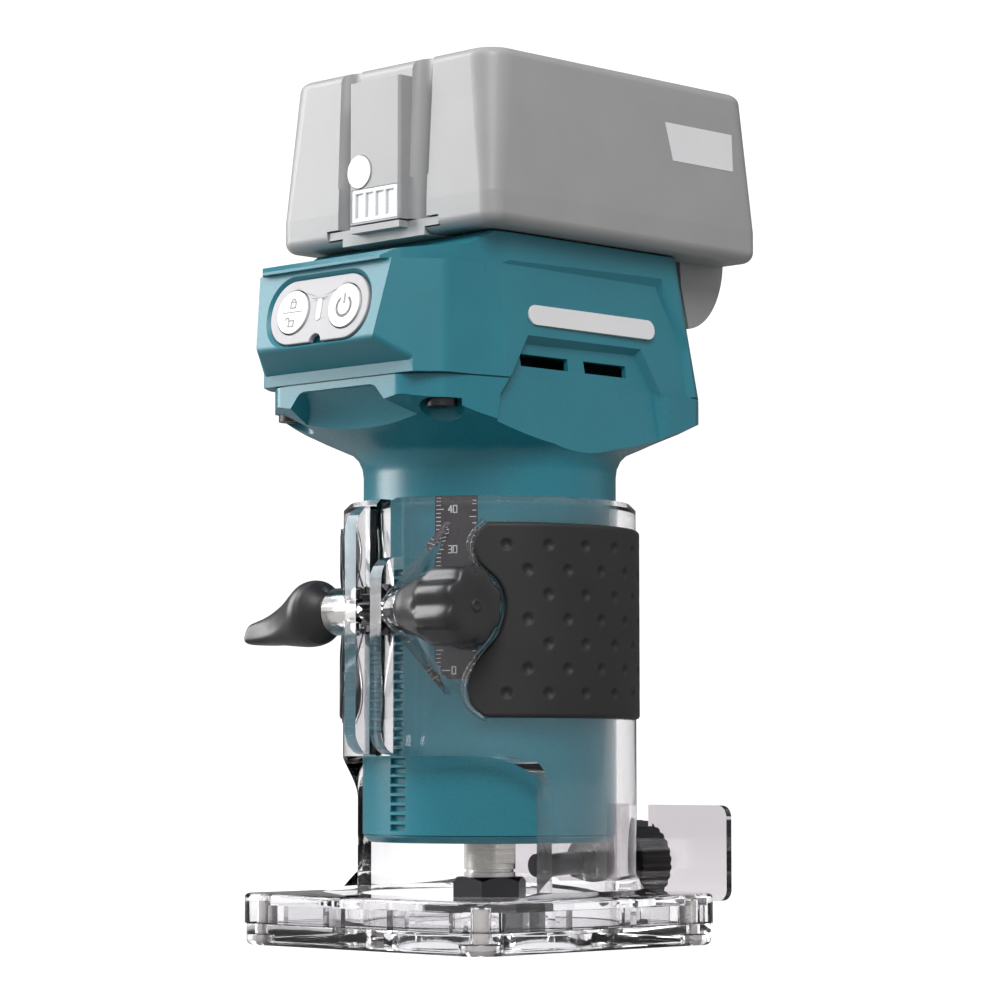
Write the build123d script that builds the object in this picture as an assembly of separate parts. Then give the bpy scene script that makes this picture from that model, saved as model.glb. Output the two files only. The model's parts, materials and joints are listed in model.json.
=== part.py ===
from build123d import *
import math
import os

# Trim router, millimetres. Origin on the spindle axis at the sole, +Z up,
# the control panel faces -Y, the battery slides off towards +Y.

# --- driving dimensions -------------------------------------------------
BARREL_R = 32.5  # motor barrel, 65 mm across
SLIDE_GAP = 0.3  # air between the barrel and the base ring
BARREL_WALL = 3.0
BARREL_BOTTOM = 28.0
NECK_TOP = 126.5  # where the barrel meets the head flange
PARTING = 140.5  # joint between flange and upper head
HEAD_TOP = 177.0
SIDE_LEAN = 3.0  # how far each side of the head leans in over its height

RING_IN = BARREL_R + SLIDE_GAP
RING_OUT = 37.6
RING_TOP = 112.0
ARCH_TOP = 47.7  # lower edge of the clamp ring over the bit window
ARCH_HALF = 35.1
ARCH_BACK = -13.5

SOLE_T = 5.5
FLANGE_TOP = 13.0
FLANGE_SKIN = 2.9
FLANGE_X = 45.0
FLANGE_FRONT = -48.0
FLANGE_REAR = 40.0
FLANGE_R = 8.0
RIB_PITCH = 23.0

EAR_GAP = 2.6  # half the split between the clamp ears
EAR_T = 4.0
EAR_FRONT = -44.5

MODULE = 0.75
PINION_TEETH = 15
KNOB_Y = -38.0
KNOB_Z = 84.0
PITCH = math.pi * MODULE
RACK_HALF = 2.7
RACK_ROOT = -31.3
RACK_BELOW = 23  # slots below the pinion at rest
RACK_ABOVE = 4

GRIP_R = 38.5
GRIP_SEAT = 36.4
GRIP_BOTTOM = 57.0
GRIP_TOP = 105.3

GUIDE_Z = 19.5
M6_R = 3.0
BOLT_CLEAR = 0.06
SCREW_X = 38.0
SCREW_FRONT = -41.0
SCREW_REAR = 32.0
SCREW_R = 2.0

PACK_X = 39.0
PACK_FRONT = -38.4
PACK_REAR = 62.0
PACK_BOTTOM = 177.4
PACK_SEAM = 185.5
PACK_TOP = 222.0
PACK_DRAFT = 1.7  # how far the sides lean in up to the top
PACK_WALL_FRONT = -33.7  # inside of the thick front wall
TAB_FRONT = -41.0  # raised middle of the front
TAB_X = 9.2
TAB_SEAM = 190.2
GAUGE_FOOT = 181.7
CHECK_X, CHECK_Z = -5.4, 194.6
RAIL_FRONT = -37.9
CELL_R = 9.1
CELL_LENGTH = 65.0
CELL_MIDDLE = 12.6
CELL_STEP = 18.25

PANEL_LEAN = 11.0
PANEL_Y = -59.6
PANEL_Z = 157.5
PANEL_L = 35.5
PANEL_W = 16.5
BUTTON_X = 9.4
BUTTON_R = 5.5


# --- small helpers ------------------------------------------------------
def block(x0, x1, y0, y1, z0, z1):
    """Box between two corners."""
    middle = Pos((x0 + x1) / 2, (y0 + y1) / 2, (z0 + z1) / 2)
    return middle * Box(x1 - x0, y1 - y0, z1 - z0)


def rod_z(radius, z0, z1, x=0.0, y=0.0):
    return Pos(x, y, (z0 + z1) / 2) * Cylinder(radius, z1 - z0)


def rod_x(radius, x0, x1, y=KNOB_Y, z=KNOB_Z):
    return Pos((x0 + x1) / 2, y, z) * Rot(0, 90, 0) * Cylinder(radius, x1 - x0)


def rod_y(radius, y0, y1, x=0.0, z=GUIDE_Z):
    return Pos(x, (y0 + y1) / 2, z) * Rot(90, 0, 0) * Cylinder(radius, y1 - y0)


def tube_z(outer, inner, z0, z1):
    return rod_z(outer, z0, z1) - rod_z(inner, z0 - 1, z1 + 1)


def turned(points):
    """Solid of revolution about Z from (radius, z) points."""
    return revolve(Plane.XZ * make_face(Polyline(*points, close=True)), axis=Axis.Z)


def turned_x(points, y=KNOB_Y, z=KNOB_Z):
    """Solid of revolution about the knob axis from (x, radius) points."""
    return Pos(0, y, z) * revolve(make_face(Polyline(*points, close=True)), axis=Axis.X)


def slab(x_half, y0, y1, radius, z0, z1):
    """Rounded rectangular plate."""
    outline = Pos(0, (y0 + y1) / 2) * RectangleRounded(2 * x_half, y1 - y0, radius)
    return extrude(Pos(0, 0, z0) * outline, z1 - z0)


def four(x, y_front, y_rear):
    return [(sx * x, y) for sx in (-1, 1) for y in (y_front, y_rear)]


def save(name, *solids):
    """One STEP file; several solids become a group."""
    made = []
    for solid in solids:
        made += solid.solids()
    shape = made[0] if len(made) == 1 else Compound(children=made)
    export_step(shape, "parts/" + name + ".step")


# --- clear base ---------------------------------------------------------
def grip_window():
    """Front outline that the rubber sleeve leaves free, cut along Y."""
    half = [(27.5, 106.5), (24.2, 101.0), (24.8, 96.0), (28.6, 90.5), (29.8, 84.0),
            (28.6, 77.5), (24.6, 70.5), (22.9, 64.0), (24.2, 59.5), (28.0, 55.8)]
    right = Spline(*half)
    left = Spline(*[(-x, z) for x, z in half])
    top = Line(half[0], (-half[0][0], half[0][1]))
    bottom = Line(half[-1], (-half[-1][0], half[-1][1]))
    face = make_face([right, bottom, left, top])
    return extrude(Plane.XZ * face, 60)


def web(side, climb):
    """Thin web from a clamp boss to the ring, `climb` higher or lower and 12 mm outwards."""
    thick, inner, outer = 1.3, side * 6.5, side * 19.0
    strip = make_face(Polyline((inner, KNOB_Z - thick), (inner, KNOB_Z + thick),
                               (outer, KNOB_Z + climb + thick), (outer, KNOB_Z + climb - thick),
                               close=True))
    plan = make_face(Polyline((side * 4, -43.6), (side * 8, -43.6), (side * 20, -33.8),
                              (side * 20, -29), (side * 4, -29), close=True))
    return extrude(Plane.XZ * strip, 60) & extrude(plan, 130)


def clamp_ear(side):
    """One ear of the split ring, with a rounded nose."""
    x0, x1 = sorted((side * EAR_GAP, side * (EAR_GAP + EAR_T)))
    top = RING_TOP - 2 if side < 0 else KNOB_Z + 13
    ear = block(x0, x1, EAR_FRONT, -30, ARCH_TOP + 0.3, top)
    nose = ear.edges().filter_by(Axis.X).group_by(Axis.Y)[0]
    return fillet(nose, 6)


def flange_pockets():
    """Square pockets under the skin, between the stiffening ribs."""
    rib, rim = 2.2, 3.0
    outline = slab(FLANGE_X - rim, FLANGE_FRONT + rim, FLANGE_REAR - rim, FLANGE_R - rim,
                   SOLE_T - 1, FLANGE_TOP - FLANGE_SKIN)
    for i in range(-1, 3):
        x = (i - 0.5) * RIB_PITCH
        outline -= block(x - rib / 2, x + rib / 2, -60, 60, 0, 20)
        y = (i - 0.5) * RIB_PITCH - 4
        outline -= block(-60, 60, y - rib / 2, y + rib / 2, 0, 20)
    outline -= rod_z(RING_OUT + 2.0, 0, 20)
    for x, y in four(SCREW_X, SCREW_FRONT, SCREW_REAR):
        outline -= rod_z(4.6, 0, 20, x, y)
    return outline


def knob_relief():
    """Room in the ring wall for the turning knob and its collar."""
    return turned_x([(10.3, 0), (10.3, 6.9), (12.5, 6.9), (21.2, 9.4), (21.2, 10.8),
                     (45.0, 10.8), (45.0, 0)])


def make_base_housing():
    ring = turned([(RING_IN, SOLE_T), (RING_OUT + 6, SOLE_T), (RING_OUT + 6, FLANGE_TOP),
                   (RING_OUT + 2, FLANGE_TOP + 1.2), (RING_OUT, FLANGE_TOP + 5),
                   (RING_OUT, RING_TOP - 1.5), (RING_OUT - 1.5, RING_TOP), (RING_IN, RING_TOP)])
    ring &= block(-FLANGE_X, FLANGE_X, FLANGE_FRONT, FLANGE_REAR, 0, 200)
    arch = RectangleRounded(2 * ARCH_HALF, 2 * (ARCH_TOP - FLANGE_TOP), 11)
    window = extrude(Plane.XZ * Pos(0, FLANGE_TOP) * arch, 60)
    window &= block(-60, 60, -60, ARCH_BACK, FLANGE_TOP, 200)
    ring -= window
    grip_seat = tube_z(RING_OUT + 5, GRIP_SEAT, GRIP_BOTTOM, GRIP_TOP) - grip_window()
    ring -= grip_seat
    plate = slab(FLANGE_X, FLANGE_FRONT, FLANGE_REAR, FLANGE_R, SOLE_T, FLANGE_TOP)
    plate -= rod_z(RING_IN, 0, 20)
    plate = fillet(plate.faces().sort_by(Axis.Z)[-1].outer_wire().edges(), 1.2)
    front = clamp_ear(-1) + clamp_ear(1)
    front += rod_x(6.0, -16.0, -EAR_GAP) + rod_x(6.0, EAR_GAP, 10.3)
    for side in (-1, 1):
        front += web(side, 20) + web(side, -20)
    front -= block(-EAR_GAP, EAR_GAP, -60, -28, ARCH_TOP - 5, RING_TOP + 5)
    front -= rod_z(RING_IN + 0.5, 0, 200)
    guide_boss = rod_y(6.8, 34.0, 41.6) - rod_z(RING_IN + 0.5, 0, 200)
    body = ring + plate + front + guide_boss
    body -= block(-EAR_GAP, EAR_GAP, -60, -28, ARCH_TOP - 5, RING_TOP + 5)
    body -= flange_pockets()
    body -= rod_x(M6_R + BOLT_CLEAR, -30, 0)
    body -= rod_x(4.16, 0, 20)
    body -= knob_relief()
    body -= rod_y(M6_R + BOLT_CLEAR, 30, 50)
    for x, y in four(SCREW_X, SCREW_FRONT, SCREW_REAR):
        body -= rod_z(SCREW_R + 0.05, SOLE_T - 1, 11.5, x, y)
    return body


def make_sub_base():
    inset = 0.5
    plate = slab(FLANGE_X - inset, FLANGE_FRONT + inset, FLANGE_REAR - inset,
                 FLANGE_R - inset, 0, SOLE_T)
    plate = fillet(plate.faces().sort_by(Axis.Z)[0].outer_wire().edges(), 1.4)
    plate -= rod_z(15.0, -1, 10)
    plate -= rod_z(17.5, 3.2, 10)
    for x, y in four(SCREW_X, SCREW_FRONT, SCREW_REAR):
        plate -= rod_z(SCREW_R + 0.15, -1, 10, x, y)
        plate -= rod_z(4.2, -1, 2.7, x, y)
    return plate


def make_sole_screw(x, y):
    screw = rod_z(SCREW_R, 1.0, 11.0, x, y) + rod_z(4.0, 0.5, 2.7, x, y)
    return screw - block(x - 3, x + 3, y - 0.5, y + 0.5, 0.4, 1.3)


def make_grip():
    return tube_z(GRIP_R, GRIP_SEAT, GRIP_BOTTOM, GRIP_TOP) - grip_window()


# --- clamp, pinion and knob ---------------------------------------------
def make_clamp_bolt():
    return rod_x(M6_R, -24.0, 33.0)


def pinion_profile():
    """Fifteen tapered teeth on a root circle, with backlash."""
    root_r = 4.7
    gear = Circle(root_r)
    tooth = make_face(Polyline((root_r - 1, -0.95), (root_r, -0.85), (5.625, -0.46),
                               (6.375, -0.2), (6.375, 0.2), (5.625, 0.46), (root_r, 0.85),
                               (root_r - 1, 0.95), close=True))
    for i in range(PINION_TEETH):
        gear += Rot(0, 0, 360 / PINION_TEETH * i) * tooth
    return gear


def make_pinion_shaft():
    gear = extrude(Plane.YZ * pinion_profile(), 2.25, both=True)
    gear = Pos(0, KNOB_Y, KNOB_Z) * gear
    sleeve = rod_x(4.1, 0, 20.0)
    return gear + sleeve - rod_x(M6_R + BOLT_CLEAR, -10, 40)


def make_depth_knob():
    lobes = 8
    collar = turned_x([(10.6, 0), (10.6, 6.5), (12.5, 6.5), (20.0, 8.6), (21.5, 9.0), (21.5, 0)])
    grip = extrude(Plane.YZ * Circle(10.25), 12.0)
    for i in range(lobes):
        turn = math.radians(360 / lobes * (i + 0.5))
        grip -= Pos(0, 12.4 * math.cos(turn), 12.4 * math.sin(turn)) * Rot(0, 90, 0) * Cylinder(3.4, 60)
    grip = Pos(21.5, KNOB_Y, KNOB_Z) * grip
    rim = turned_x([(21.5, 0), (21.5, 9.3), (22.5, 10.3), (32.3, 10.3), (33.5, 9.1), (33.5, 0)])
    knob = collar + (grip & rim)
    knob -= rod_x(4.1, 0, 20.0)
    return knob - rod_x(M6_R + BOLT_CLEAR, 0, 40)


def make_clamp_lever():
    hub = turned_x([(-17.4, 0), (-17.4, 4.4), (-20.0, 5.6), (-24.0, 8.1), (-26.0, 8.4),
                    (-28.5, 8.0), (-30.0, 7.4), (-30.0, 0)])
    stations = ((-27.0, 0.0, 8.0, 8.2), (-34.0, -1.2, 7.4, 6.4), (-40.0, -3.4, 7.2, 4.4),
                (-46.0, -4.6, 7.0, 2.9))
    faces = []
    for x, drop, half_y, half_z in stations:
        place = Plane(origin=(x, KNOB_Y, KNOB_Z + drop), x_dir=(0, 1, 0), z_dir=(1, 0, 0))
        faces.append(place * Ellipse(half_y, half_z))
    wing = loft(faces)
    lever = hub + wing
    return lever - rod_x(M6_R + BOLT_CLEAR, -25.0, 0)


# --- rear guide ---------------------------------------------------------
def make_guide_screw():
    head = Plane.XZ * Circle(11.3)
    knurl = extrude(head, -11.0)
    for i in range(30):
        turn = math.radians(12 * i)
        knurl -= Pos(11.9 * math.cos(turn), 5.5, 11.9 * math.sin(turn)) * Rot(90, 0, 0) * Cylinder(0.95, 20)
    knurl = Pos(0, 46.5, GUIDE_Z) * knurl
    shoulder = rod_y(7.0, 45.3, 46.5)
    return knurl + shoulder


def make_guide_shank():
    return rod_y(M6_R, 17.0, 52.0)


def make_chip_guard():
    low, high = 10.7, 35.1
    outline = Pos(0, (low + high) / 2) * RectangleRounded(86, high - low, 3)
    plate = extrude(Plane.XZ * outline, -2.0)
    plate = Pos(0, 42.6, 0) * plate
    plate -= block(-16, 16, 40, 50, 29.5, 40)
    plate -= block(-3.3, 3.3, 40, 50, 0, GUIDE_Z)
    return plate - rod_y(3.3, 40, 50)


# --- motor --------------------------------------------------------------
def head_plan(points, corner=4.5):
    """Face from the right half of a plan, mirrored to the left, corners rounded."""
    face = make_face(Polyline(*points, *[(-x, y) for x, y in reversed(points)], close=True))
    return fillet(face.vertices(), corner)


def flange_outline(grow=0.0, corner=4.5):
    """Plan of the head at the parting line."""
    g = grow
    return head_plan([(22.5 + g, -53.6 - g), (31 + g, -46.5 - g), (35.5 + g, -26),
                      (35.5 + g, 40.5), (31 + g, 46.5 + g)], corner)


def head_screw_spots():
    return four(27.0, -43.5, 36.0)


def parting_groove():
    """Fine step round the top of the flange that shows where the two mouldings meet."""
    low = PARTING - 0.4
    groove = extrude(Pos(0, 0, low) * flange_outline(2.0), 0.4)
    return groove - extrude(Pos(0, 0, low - 1) * flange_outline(-0.7), 2.0)


def finger_scoop():
    """Hollowed grip under the front of the head."""
    mouth = make_face(Polyline((-13.5, 138.4), (13.5, 138.4), (26.5, 124), (-26.5, 124), close=True))
    mouth = fillet(mouth.vertices().group_by(Axis.Y)[-1], 4.0)
    cut = extrude(Plane.XZ * mouth, 70)
    return cut & rod_x(14.5, -30, 30, -58.5, 125.5)


def side_plane(side, out=0.0, turn=0.0):
    """Plane on the leaning side of the head; local x runs along the side, local y up."""
    lean = math.atan2(SIDE_LEAN, HEAD_TOP - PARTING)
    normal = Vector(side * math.cos(lean), side * math.tan(math.radians(turn)) * side,
                    math.sin(lean))
    origin = (side * (35.5 + out), 0, PARTING)
    return Plane(origin=origin, x_dir=(0, side, 0), z_dir=normal)


def side_cut(side, points, depth, taper=0.0, turn=0.0):
    """Pocket in the side of the head from (y, height over the parting line) points."""
    face = make_face(Polyline(*[(side * y, z) for y, z in points], close=True))
    return extrude(side_plane(side, -depth, turn) * face, depth + 4.0, taper=taper)


def vent_recess(side):
    """Sunk field around the air slots that runs down over the flange."""
    return side_cut(side, [(-19.5, 9.0), (20.5, 9.6), (27.0, -1.0), (29.0, -20),
                           (-33.0, -20), (-29.5, -5.0), (-25.5, -0.5)], 3.0, taper=-38)


def make_motor_housing():
    barrel = tube_z(BARREL_R, BARREL_R - BARREL_WALL, BARREL_BOTTOM, NECK_TOP + 4)
    neck = [(BARREL_R, 119.0), (BARREL_R + 0.3, 121.3), (BARREL_R + 1.3, 123.5),
            (BARREL_R + 3.0, 125.2), (50.0, 131.4), (63.0, 137.8)]
    flange = extrude(Pos(0, 0, 119.0) * flange_outline(), PARTING - 119.0)
    flange &= turned([(0, 119.0), *neck, (63, PARTING), (0, PARTING)])
    for side in (-1, 1):
        flange -= vent_recess(side)
    hollow = extrude(Pos(0, 0, NECK_TOP) * flange_outline(-4.6, 2.5), PARTING)
    hollow &= turned([(0, NECK_TOP + 3), (BARREL_R, NECK_TOP + 3), (63, NECK_TOP + 14.5),
                      (63, 200), (0, 200)])
    flange -= hollow & block(-60, 60, -39, 60, 0, 200)
    for x, y in head_screw_spots():
        flange += rod_z(5.0, 134.4, PARTING, x, y) & extrude(
            Pos(0, 0, NECK_TOP) * flange_outline(), PARTING - NECK_TOP)
    flange -= rod_z(BARREL_R - BARREL_WALL, 0, 200)
    flange -= finger_scoop() + parting_groove()
    for x, y in head_screw_spots():
        flange -= rod_z(2.1, 120, PARTING + 1, x, y)
        flange -= rod_z(5.4, 120, 134.4, x, y)
    body = barrel + flange
    slots = []
    for k in range(-RACK_BELOW, RACK_ABOVE + 1):
        z = KNOB_Z + k * PITCH
        slot = Polyline((-33.2, z - 1.13), (RACK_ROOT, z - 0.46), (RACK_ROOT, z + 0.46),
                        (-33.2, z + 1.13), close=True)
        slots.append(extrude(Plane.YZ * make_face(slot), RACK_HALF, both=True))
    body -= slots
    return body - scale_pocket(0.0)


def scale_pocket(gap):
    """Shallow curved pocket on the barrel that takes the printed scale."""
    band = tube_z(BARREL_R + 1, BARREL_R - 0.8 + gap, 66.6 + gap, 112.0 - gap)
    middle = -90 + 30.4
    wedge = block(0, 60, -5.4 + gap, 5.4 - gap, 0, 200)
    return band & (Rot(0, 0, middle) * wedge)


def make_scale_plate():
    return scale_pocket(0.05) & rod_z(BARREL_R, 0, 200)


def make_motor_cover():
    """Lower end cover with the seat of the lower bearing."""
    cover = turned([(7.6, 26.0), (30.6, 26.0), (BARREL_R - 0.4, 27.4), (BARREL_R - 0.4, 28.0),
                    (29.4, 28.0), (29.4, 34.0), (13.5, 34.0), (13.5, 36.0), (11.0, 36.0),
                    (11.0, 29.0), (7.6, 29.0)])
    return cover


def make_bearing_bracket():
    bracket = turned([(11.0, 112.0), (13.5, 112.0), (13.5, 116.0), (29.4, 116.0),
                      (29.4, 119.0), (11.0, 119.0)])
    for i in range(6):
        bracket -= Rot(0, 0, 60 * i) * rod_z(4.0, 110, 125, 21.0, 0)
    return bracket


def make_bearing(z0):
    ring = tube_z(11.0, 4.05, z0, z0 + 7.0)
    groove = tube_z(9.0, 6.0, z0 - 1, z0 + 0.5) + tube_z(9.0, 6.0, z0 + 6.5, z0 + 8)
    return ring - groove


def make_stator():
    core = tube_z(29.4, 25.0, 60, 92)
    for i in range(6):
        tooth = block(18.4, 26.0, -3.0, 3.0, 60, 92) + block(17.6, 19.6, -6.5, 6.5, 60, 92)
        core += Rot(0, 0, 60 * i) * tooth
    return core - rod_z(17.4, 0, 200)


def make_coils():
    coils = []
    for i in range(6):
        coil = block(20.0, 24.2, -5.8, 5.8, 56.5, 95.5) - block(15, 30, -3.0, 3.0, 60, 92)
        coils.append(Rot(0, 0, 60 * i) * coil)
    return coils


def make_rotor():
    return tube_z(16.6, 4.0, 58, 94)


def make_spindle_shaft():
    nose_r, flat = 6.6, 5.7
    shaft = rod_z(4.0, 24.0, 121.5)
    nose = rod_z(nose_r, 10.0, 27.6)
    nose &= rod_z(nose_r, 0, 20.4) + block(-flat, flat, -20, 20, 20.4, 30)
    nose -= tube_z(10, nose_r - 0.5, 18.2, 19.0)
    nose -= rod_z(5.05, 0, 24.0)
    return shaft + nose


def make_collet():
    body = turned([(3.0, 6.2), (4.4, 6.2), (5.0, 8.6), (5.0, 23.5), (3.0, 23.5)])
    for i in range(3):
        body -= Rot(0, 0, 60 * i) * block(-10, 10, -0.35, 0.35, 5, 18)
    return body


def make_collet_nut():
    across = 17.0
    hexagon = Rot(0, 0, 4) * RegularPolygon(across / 2, 6, major_radius=False)
    nut = extrude(Pos(0, 0, 4.5) * hexagon, 12.5)
    bevel = turned([(0, 4.5), (8.4, 4.5), (9.9, 5.6), (9.9, 15.8), (8.4, 17.0), (0, 17.0)])
    nut &= bevel
    nut -= rod_z(3.6, 0, 20)
    nut -= rod_z(5.05, 6.0, 20)
    return nut - rod_z(6.65, 9.8, 20)


def make_fan():
    hub = tube_z(8.0, 4.0, 99, 109)
    disc = tube_z(24.0, 4.0, 99, 100.5)
    fan = hub + disc
    for i in range(11):
        blade = Pos(16.0, 0, 103.5) * Rot(0, 0, 22) * Box(15, 1.2, 8)
        fan += Rot(0, 0, 360 / 11 * i) * blade
    return fan


# --- head ---------------------------------------------------------------
def panel_plane(out=0.0):
    """Plane of the leaning control panel; +Z points out of the face."""
    lean = math.radians(PANEL_LEAN)
    normal = (0, -math.cos(lean), math.sin(lean))
    origin = (0, PANEL_Y + out * normal[1], PANEL_Z + out * normal[2])
    return Plane(origin=origin, x_dir=(1, 0, 0), z_dir=normal)


def head_loft(grow, corner=4.5):
    """Casing between the parting line and the top, leaning in on all sides."""
    g = grow
    low = flange_outline(grow, corner)
    high = head_plan([(22 + g, -47 - g), (29.5 + g, -43 - g), (32.5 + g, -26), (32.5 + g, 35.6),
                      (28 + g, 40.4 + g)], corner)
    return loft([Pos(0, 0, PARTING) * low, Pos(0, 0, HEAD_TOP) * high])


def snout():
    """Wedge in front of the loft that carries the control panel."""
    side = make_face(Polyline((-30, PARTING), (-53.6, PARTING), (-53.6, 143.3), (-61.5, 148.4),
                              (-57.7, 168.0), (-30, 168.0), close=True))
    body = extrude(Plane.YZ * side, 40, both=True)
    plan = make_face(Polyline((19.3, -64), (32.3, -47), (33.5, -28), (-33.5, -28),
                              (-32.3, -47), (-19.3, -64), close=True))
    body &= extrude(Pos(0, 0, 130) * fillet(plan.vertices().filter_by(lambda v: v.Y < -40), 5.0), 50)
    low_edges = [e for e in body.edges()
                 if 143.4 < e.center().Z < 150 and e.center().Y < -54]
    return fillet(low_edges, 1.8)


def brow():
    """Thin visor over the panel, pointed at both ends, that rises to the top of the head."""
    side = make_face(Polyline((-59.2, 168.0), (-59.2, 168.7), (-56.5, 170.4), (-38, 173.0),
                              (-30, 176.8), (-30, 168.0), close=True))
    plan = make_face(Polyline((20.6, -60), (25.6, -55.6), (30.5, -43), (32.4, -28), (-32.4, -28),
                              (-30.5, -43), (-25.6, -55.6), (-20.6, -60), close=True))
    return extrude(Plane.YZ * side, 40, both=True) & extrude(Pos(0, 0, 160) * plan, 20)


def top_cut():
    """Space above the sloping top of the head."""
    side = make_face(Polyline((-80, 168.6), (-59.2, 168.7), (-56.5, 170.4), (-38, 173.0),
                              (-31, 176.8), (60, 176.8), (60, 200), (-80, 200), close=True))
    return extrude(Plane.YZ * side, 60, both=True)


def make_head_housing():
    wall = 4.4
    outer = head_loft(0) + snout() + brow() - top_cut()
    inner = head_loft(-wall, 2.5) & block(-60, 60, -60, 60, PARTING - 1, HEAD_TOP - 8.5)
    inner += extrude(panel_plane(-14) * Rectangle(35, 14), 9.6)
    inner += block(-17.5, 17.5, -50, -40, 149.5, 164.5)
    body = outer - inner
    for x, y in head_screw_spots():
        body += rod_z(4.6, PARTING, 158, x, y) & head_loft(-0.5)
    for x, y in head_screw_spots():
        body -= rod_z(2.05, PARTING - 1, 151, x, y)
    for side in (-1, 1):
        body -= side_cut(side, [(-34.0, 28.4), (28.6, 28.2), (37.0, 12.0), (38.5, -8.0),
                                (-37.0, -8.0)], 0.9, taper=-58, turn=0.75)
        body -= vent_recess(side)
        for y0, y1 in ((-21.7, -4.4), (1.3, 17.0)):
            body -= side_cut(side, [(y0, 6.1), (y0 + 0.4, 3.0), (y1, 3.0), (y1, 6.1)], 8.0)
        body -= side_badge(side, 0.05)
    seat = extrude(panel_plane(-2.2) * RectangleRounded(PANEL_L + 0.5, PANEL_W + 0.5, 8.2), 6)
    rim = loft([panel_plane(-0.9) * RectangleRounded(PANEL_L + 0.5, PANEL_W + 0.5, 8.2),
                panel_plane(1.3) * RectangleRounded(PANEL_L + 5.0, PANEL_W + 4.5, 9.6)])
    body -= (seat + rim) & block(-60, 60, -80, 0, 100, 167.9)
    for x in (-BUTTON_X, BUTTON_X):
        body -= extrude(panel_plane(-12) * Pos(x, 0) * Circle(2.5), 14)
    body -= extrude(panel_plane(-12) * RectangleRounded(2.4, 6.4, 1.0), 14)
    return body - block(-22, 22, -30, 38.5, HEAD_TOP - 4.5, HEAD_TOP + 2)


def side_badge(side, gap=0.0):
    """Plain inlaid plate on one side of the head, in a shallow seat."""
    outline = Pos(side * 3.0, 16.2) * RectangleRounded(46 + 2 * gap, 5 + 2 * gap, 2.4)
    return extrude(side_plane(side, -2.2) * outline, 2.0 + gap * 40)


def make_head_screw(x, y):
    screw = rod_z(2.0, 134.0, 150.0, x, y) + rod_z(3.9, 132.5, 134.3, x, y)
    for turn in (0, 90):
        screw -= Pos(x, y, 132.6) * Rot(0, 0, turn + 20) * Box(4.4, 0.9, 1.6)
    return screw


def make_control_panel():
    plate = extrude(panel_plane(-1.7) * RectangleRounded(PANEL_L, PANEL_W, 8.0), 1.6)
    for x in (-BUTTON_X, BUTTON_X):
        plate -= extrude(panel_plane(-3) * Pos(x, 0) * Circle(BUTTON_R + 0.3), 6)
    plate -= extrude(panel_plane(-3) * RectangleRounded(1.8, 5.6, 0.8), 6)
    return plate - extrude(panel_plane(-3) * Pos(0, -PANEL_W / 2) * Circle(2.0), 6)


def make_button(x):
    cap = extrude(panel_plane(-0.9) * Pos(x, 0) * Circle(BUTTON_R), 1.2)
    stem = extrude(panel_plane(-3.6) * Pos(x, 0) * Circle(2.2), 2.8)
    return cap + stem


def make_led_window():
    return extrude(panel_plane(-1.7) * RectangleRounded(1.7, 5.5, 0.75), 1.7)


def make_switch_board():
    board = extrude(panel_plane(-7.5) * Rectangle(34, 13), 1.4)
    parts = [board]
    for x in (-BUTTON_X, BUTTON_X):
        parts.append(extrude(panel_plane(-6.1) * Pos(x, 0) * Rectangle(6, 6), 1.2))
    return parts


def make_controller_board():
    board = block(-24, 24, -33, 30, 150.0, 151.6)
    cans = [rod_z(5.0, 151.6, 163.0, -14 + 14 * i, 20) for i in range(3)]
    chips = [block(-20 + 11 * i, -12 + 11 * i, -20, -8, 151.6, 154.6) for i in range(4)]
    return [board] + cans + chips


def make_battery_rail():
    """T-shaped rail on top of the head that the pack slides along."""
    foot = block(-21.8, 21.8, -29.8, 38.3, HEAD_TOP - 4.4, HEAD_TOP - 1.0)
    stem = block(-15.0, 15.0, RAIL_FRONT, 42, HEAD_TOP - 0.2, 178.9) + block(
        -15.0, 15.0, -28, 38, HEAD_TOP - 1.2, HEAD_TOP)
    head = block(-20.0, 20.0, RAIL_FRONT, 42, 178.9, 180.9)
    nose = block(-9.0, 9.0, TAB_FRONT + 0.1, RAIL_FRONT + 1, 179.2, 180.9)
    rail = foot + stem + head + nose
    for i in range(3):
        rail -= block(-11 + 9 * i, -7 + 9 * i, -20, 20, 176, 190)
    return rail


def make_contact_blades():
    return [block(-9.6 + 9 * i, -8.4 + 9 * i, -16, 16, 176.2, 180.4) for i in range(3)]


# --- battery ------------------------------------------------------------
def pack_slab(shrink, z0, z1, radius=4.5):
    s = shrink
    return slab(PACK_X - s, PACK_FRONT + s, PACK_REAR - s, radius, z0, z1)


def pack_loft(shrink, z0, z1, low_r=4.5, high_r=8.0):
    """Upper case: the sides lean in and the corners grow rounder towards the top."""
    faces = []
    for lean, radius, z in ((shrink, low_r, z0), (shrink + PACK_DRAFT, high_r, z1)):
        outline = RectangleRounded(2 * (PACK_X - lean), PACK_REAR - PACK_FRONT - 2 * lean, radius)
        faces.append(Pos(0, (PACK_FRONT + PACK_REAR) / 2, z) * outline)
    return loft(faces)


def front_tab(z0, z1):
    """Raised middle of the pack's front, with rounded long edges."""
    tab = block(-TAB_X, TAB_X, TAB_FRONT, PACK_FRONT + 2, z0, z1)
    return fillet(tab.edges().filter_by(Axis.Z).group_by(Axis.Y)[0], 0.8)


def flutes(z0, z1):
    """Two upright channels beside the raised middle."""
    return rod_z(3.0, z0, z1, -13.2, PACK_FRONT) + rod_z(3.0, z0, z1, 13.2, PACK_FRONT)


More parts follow.
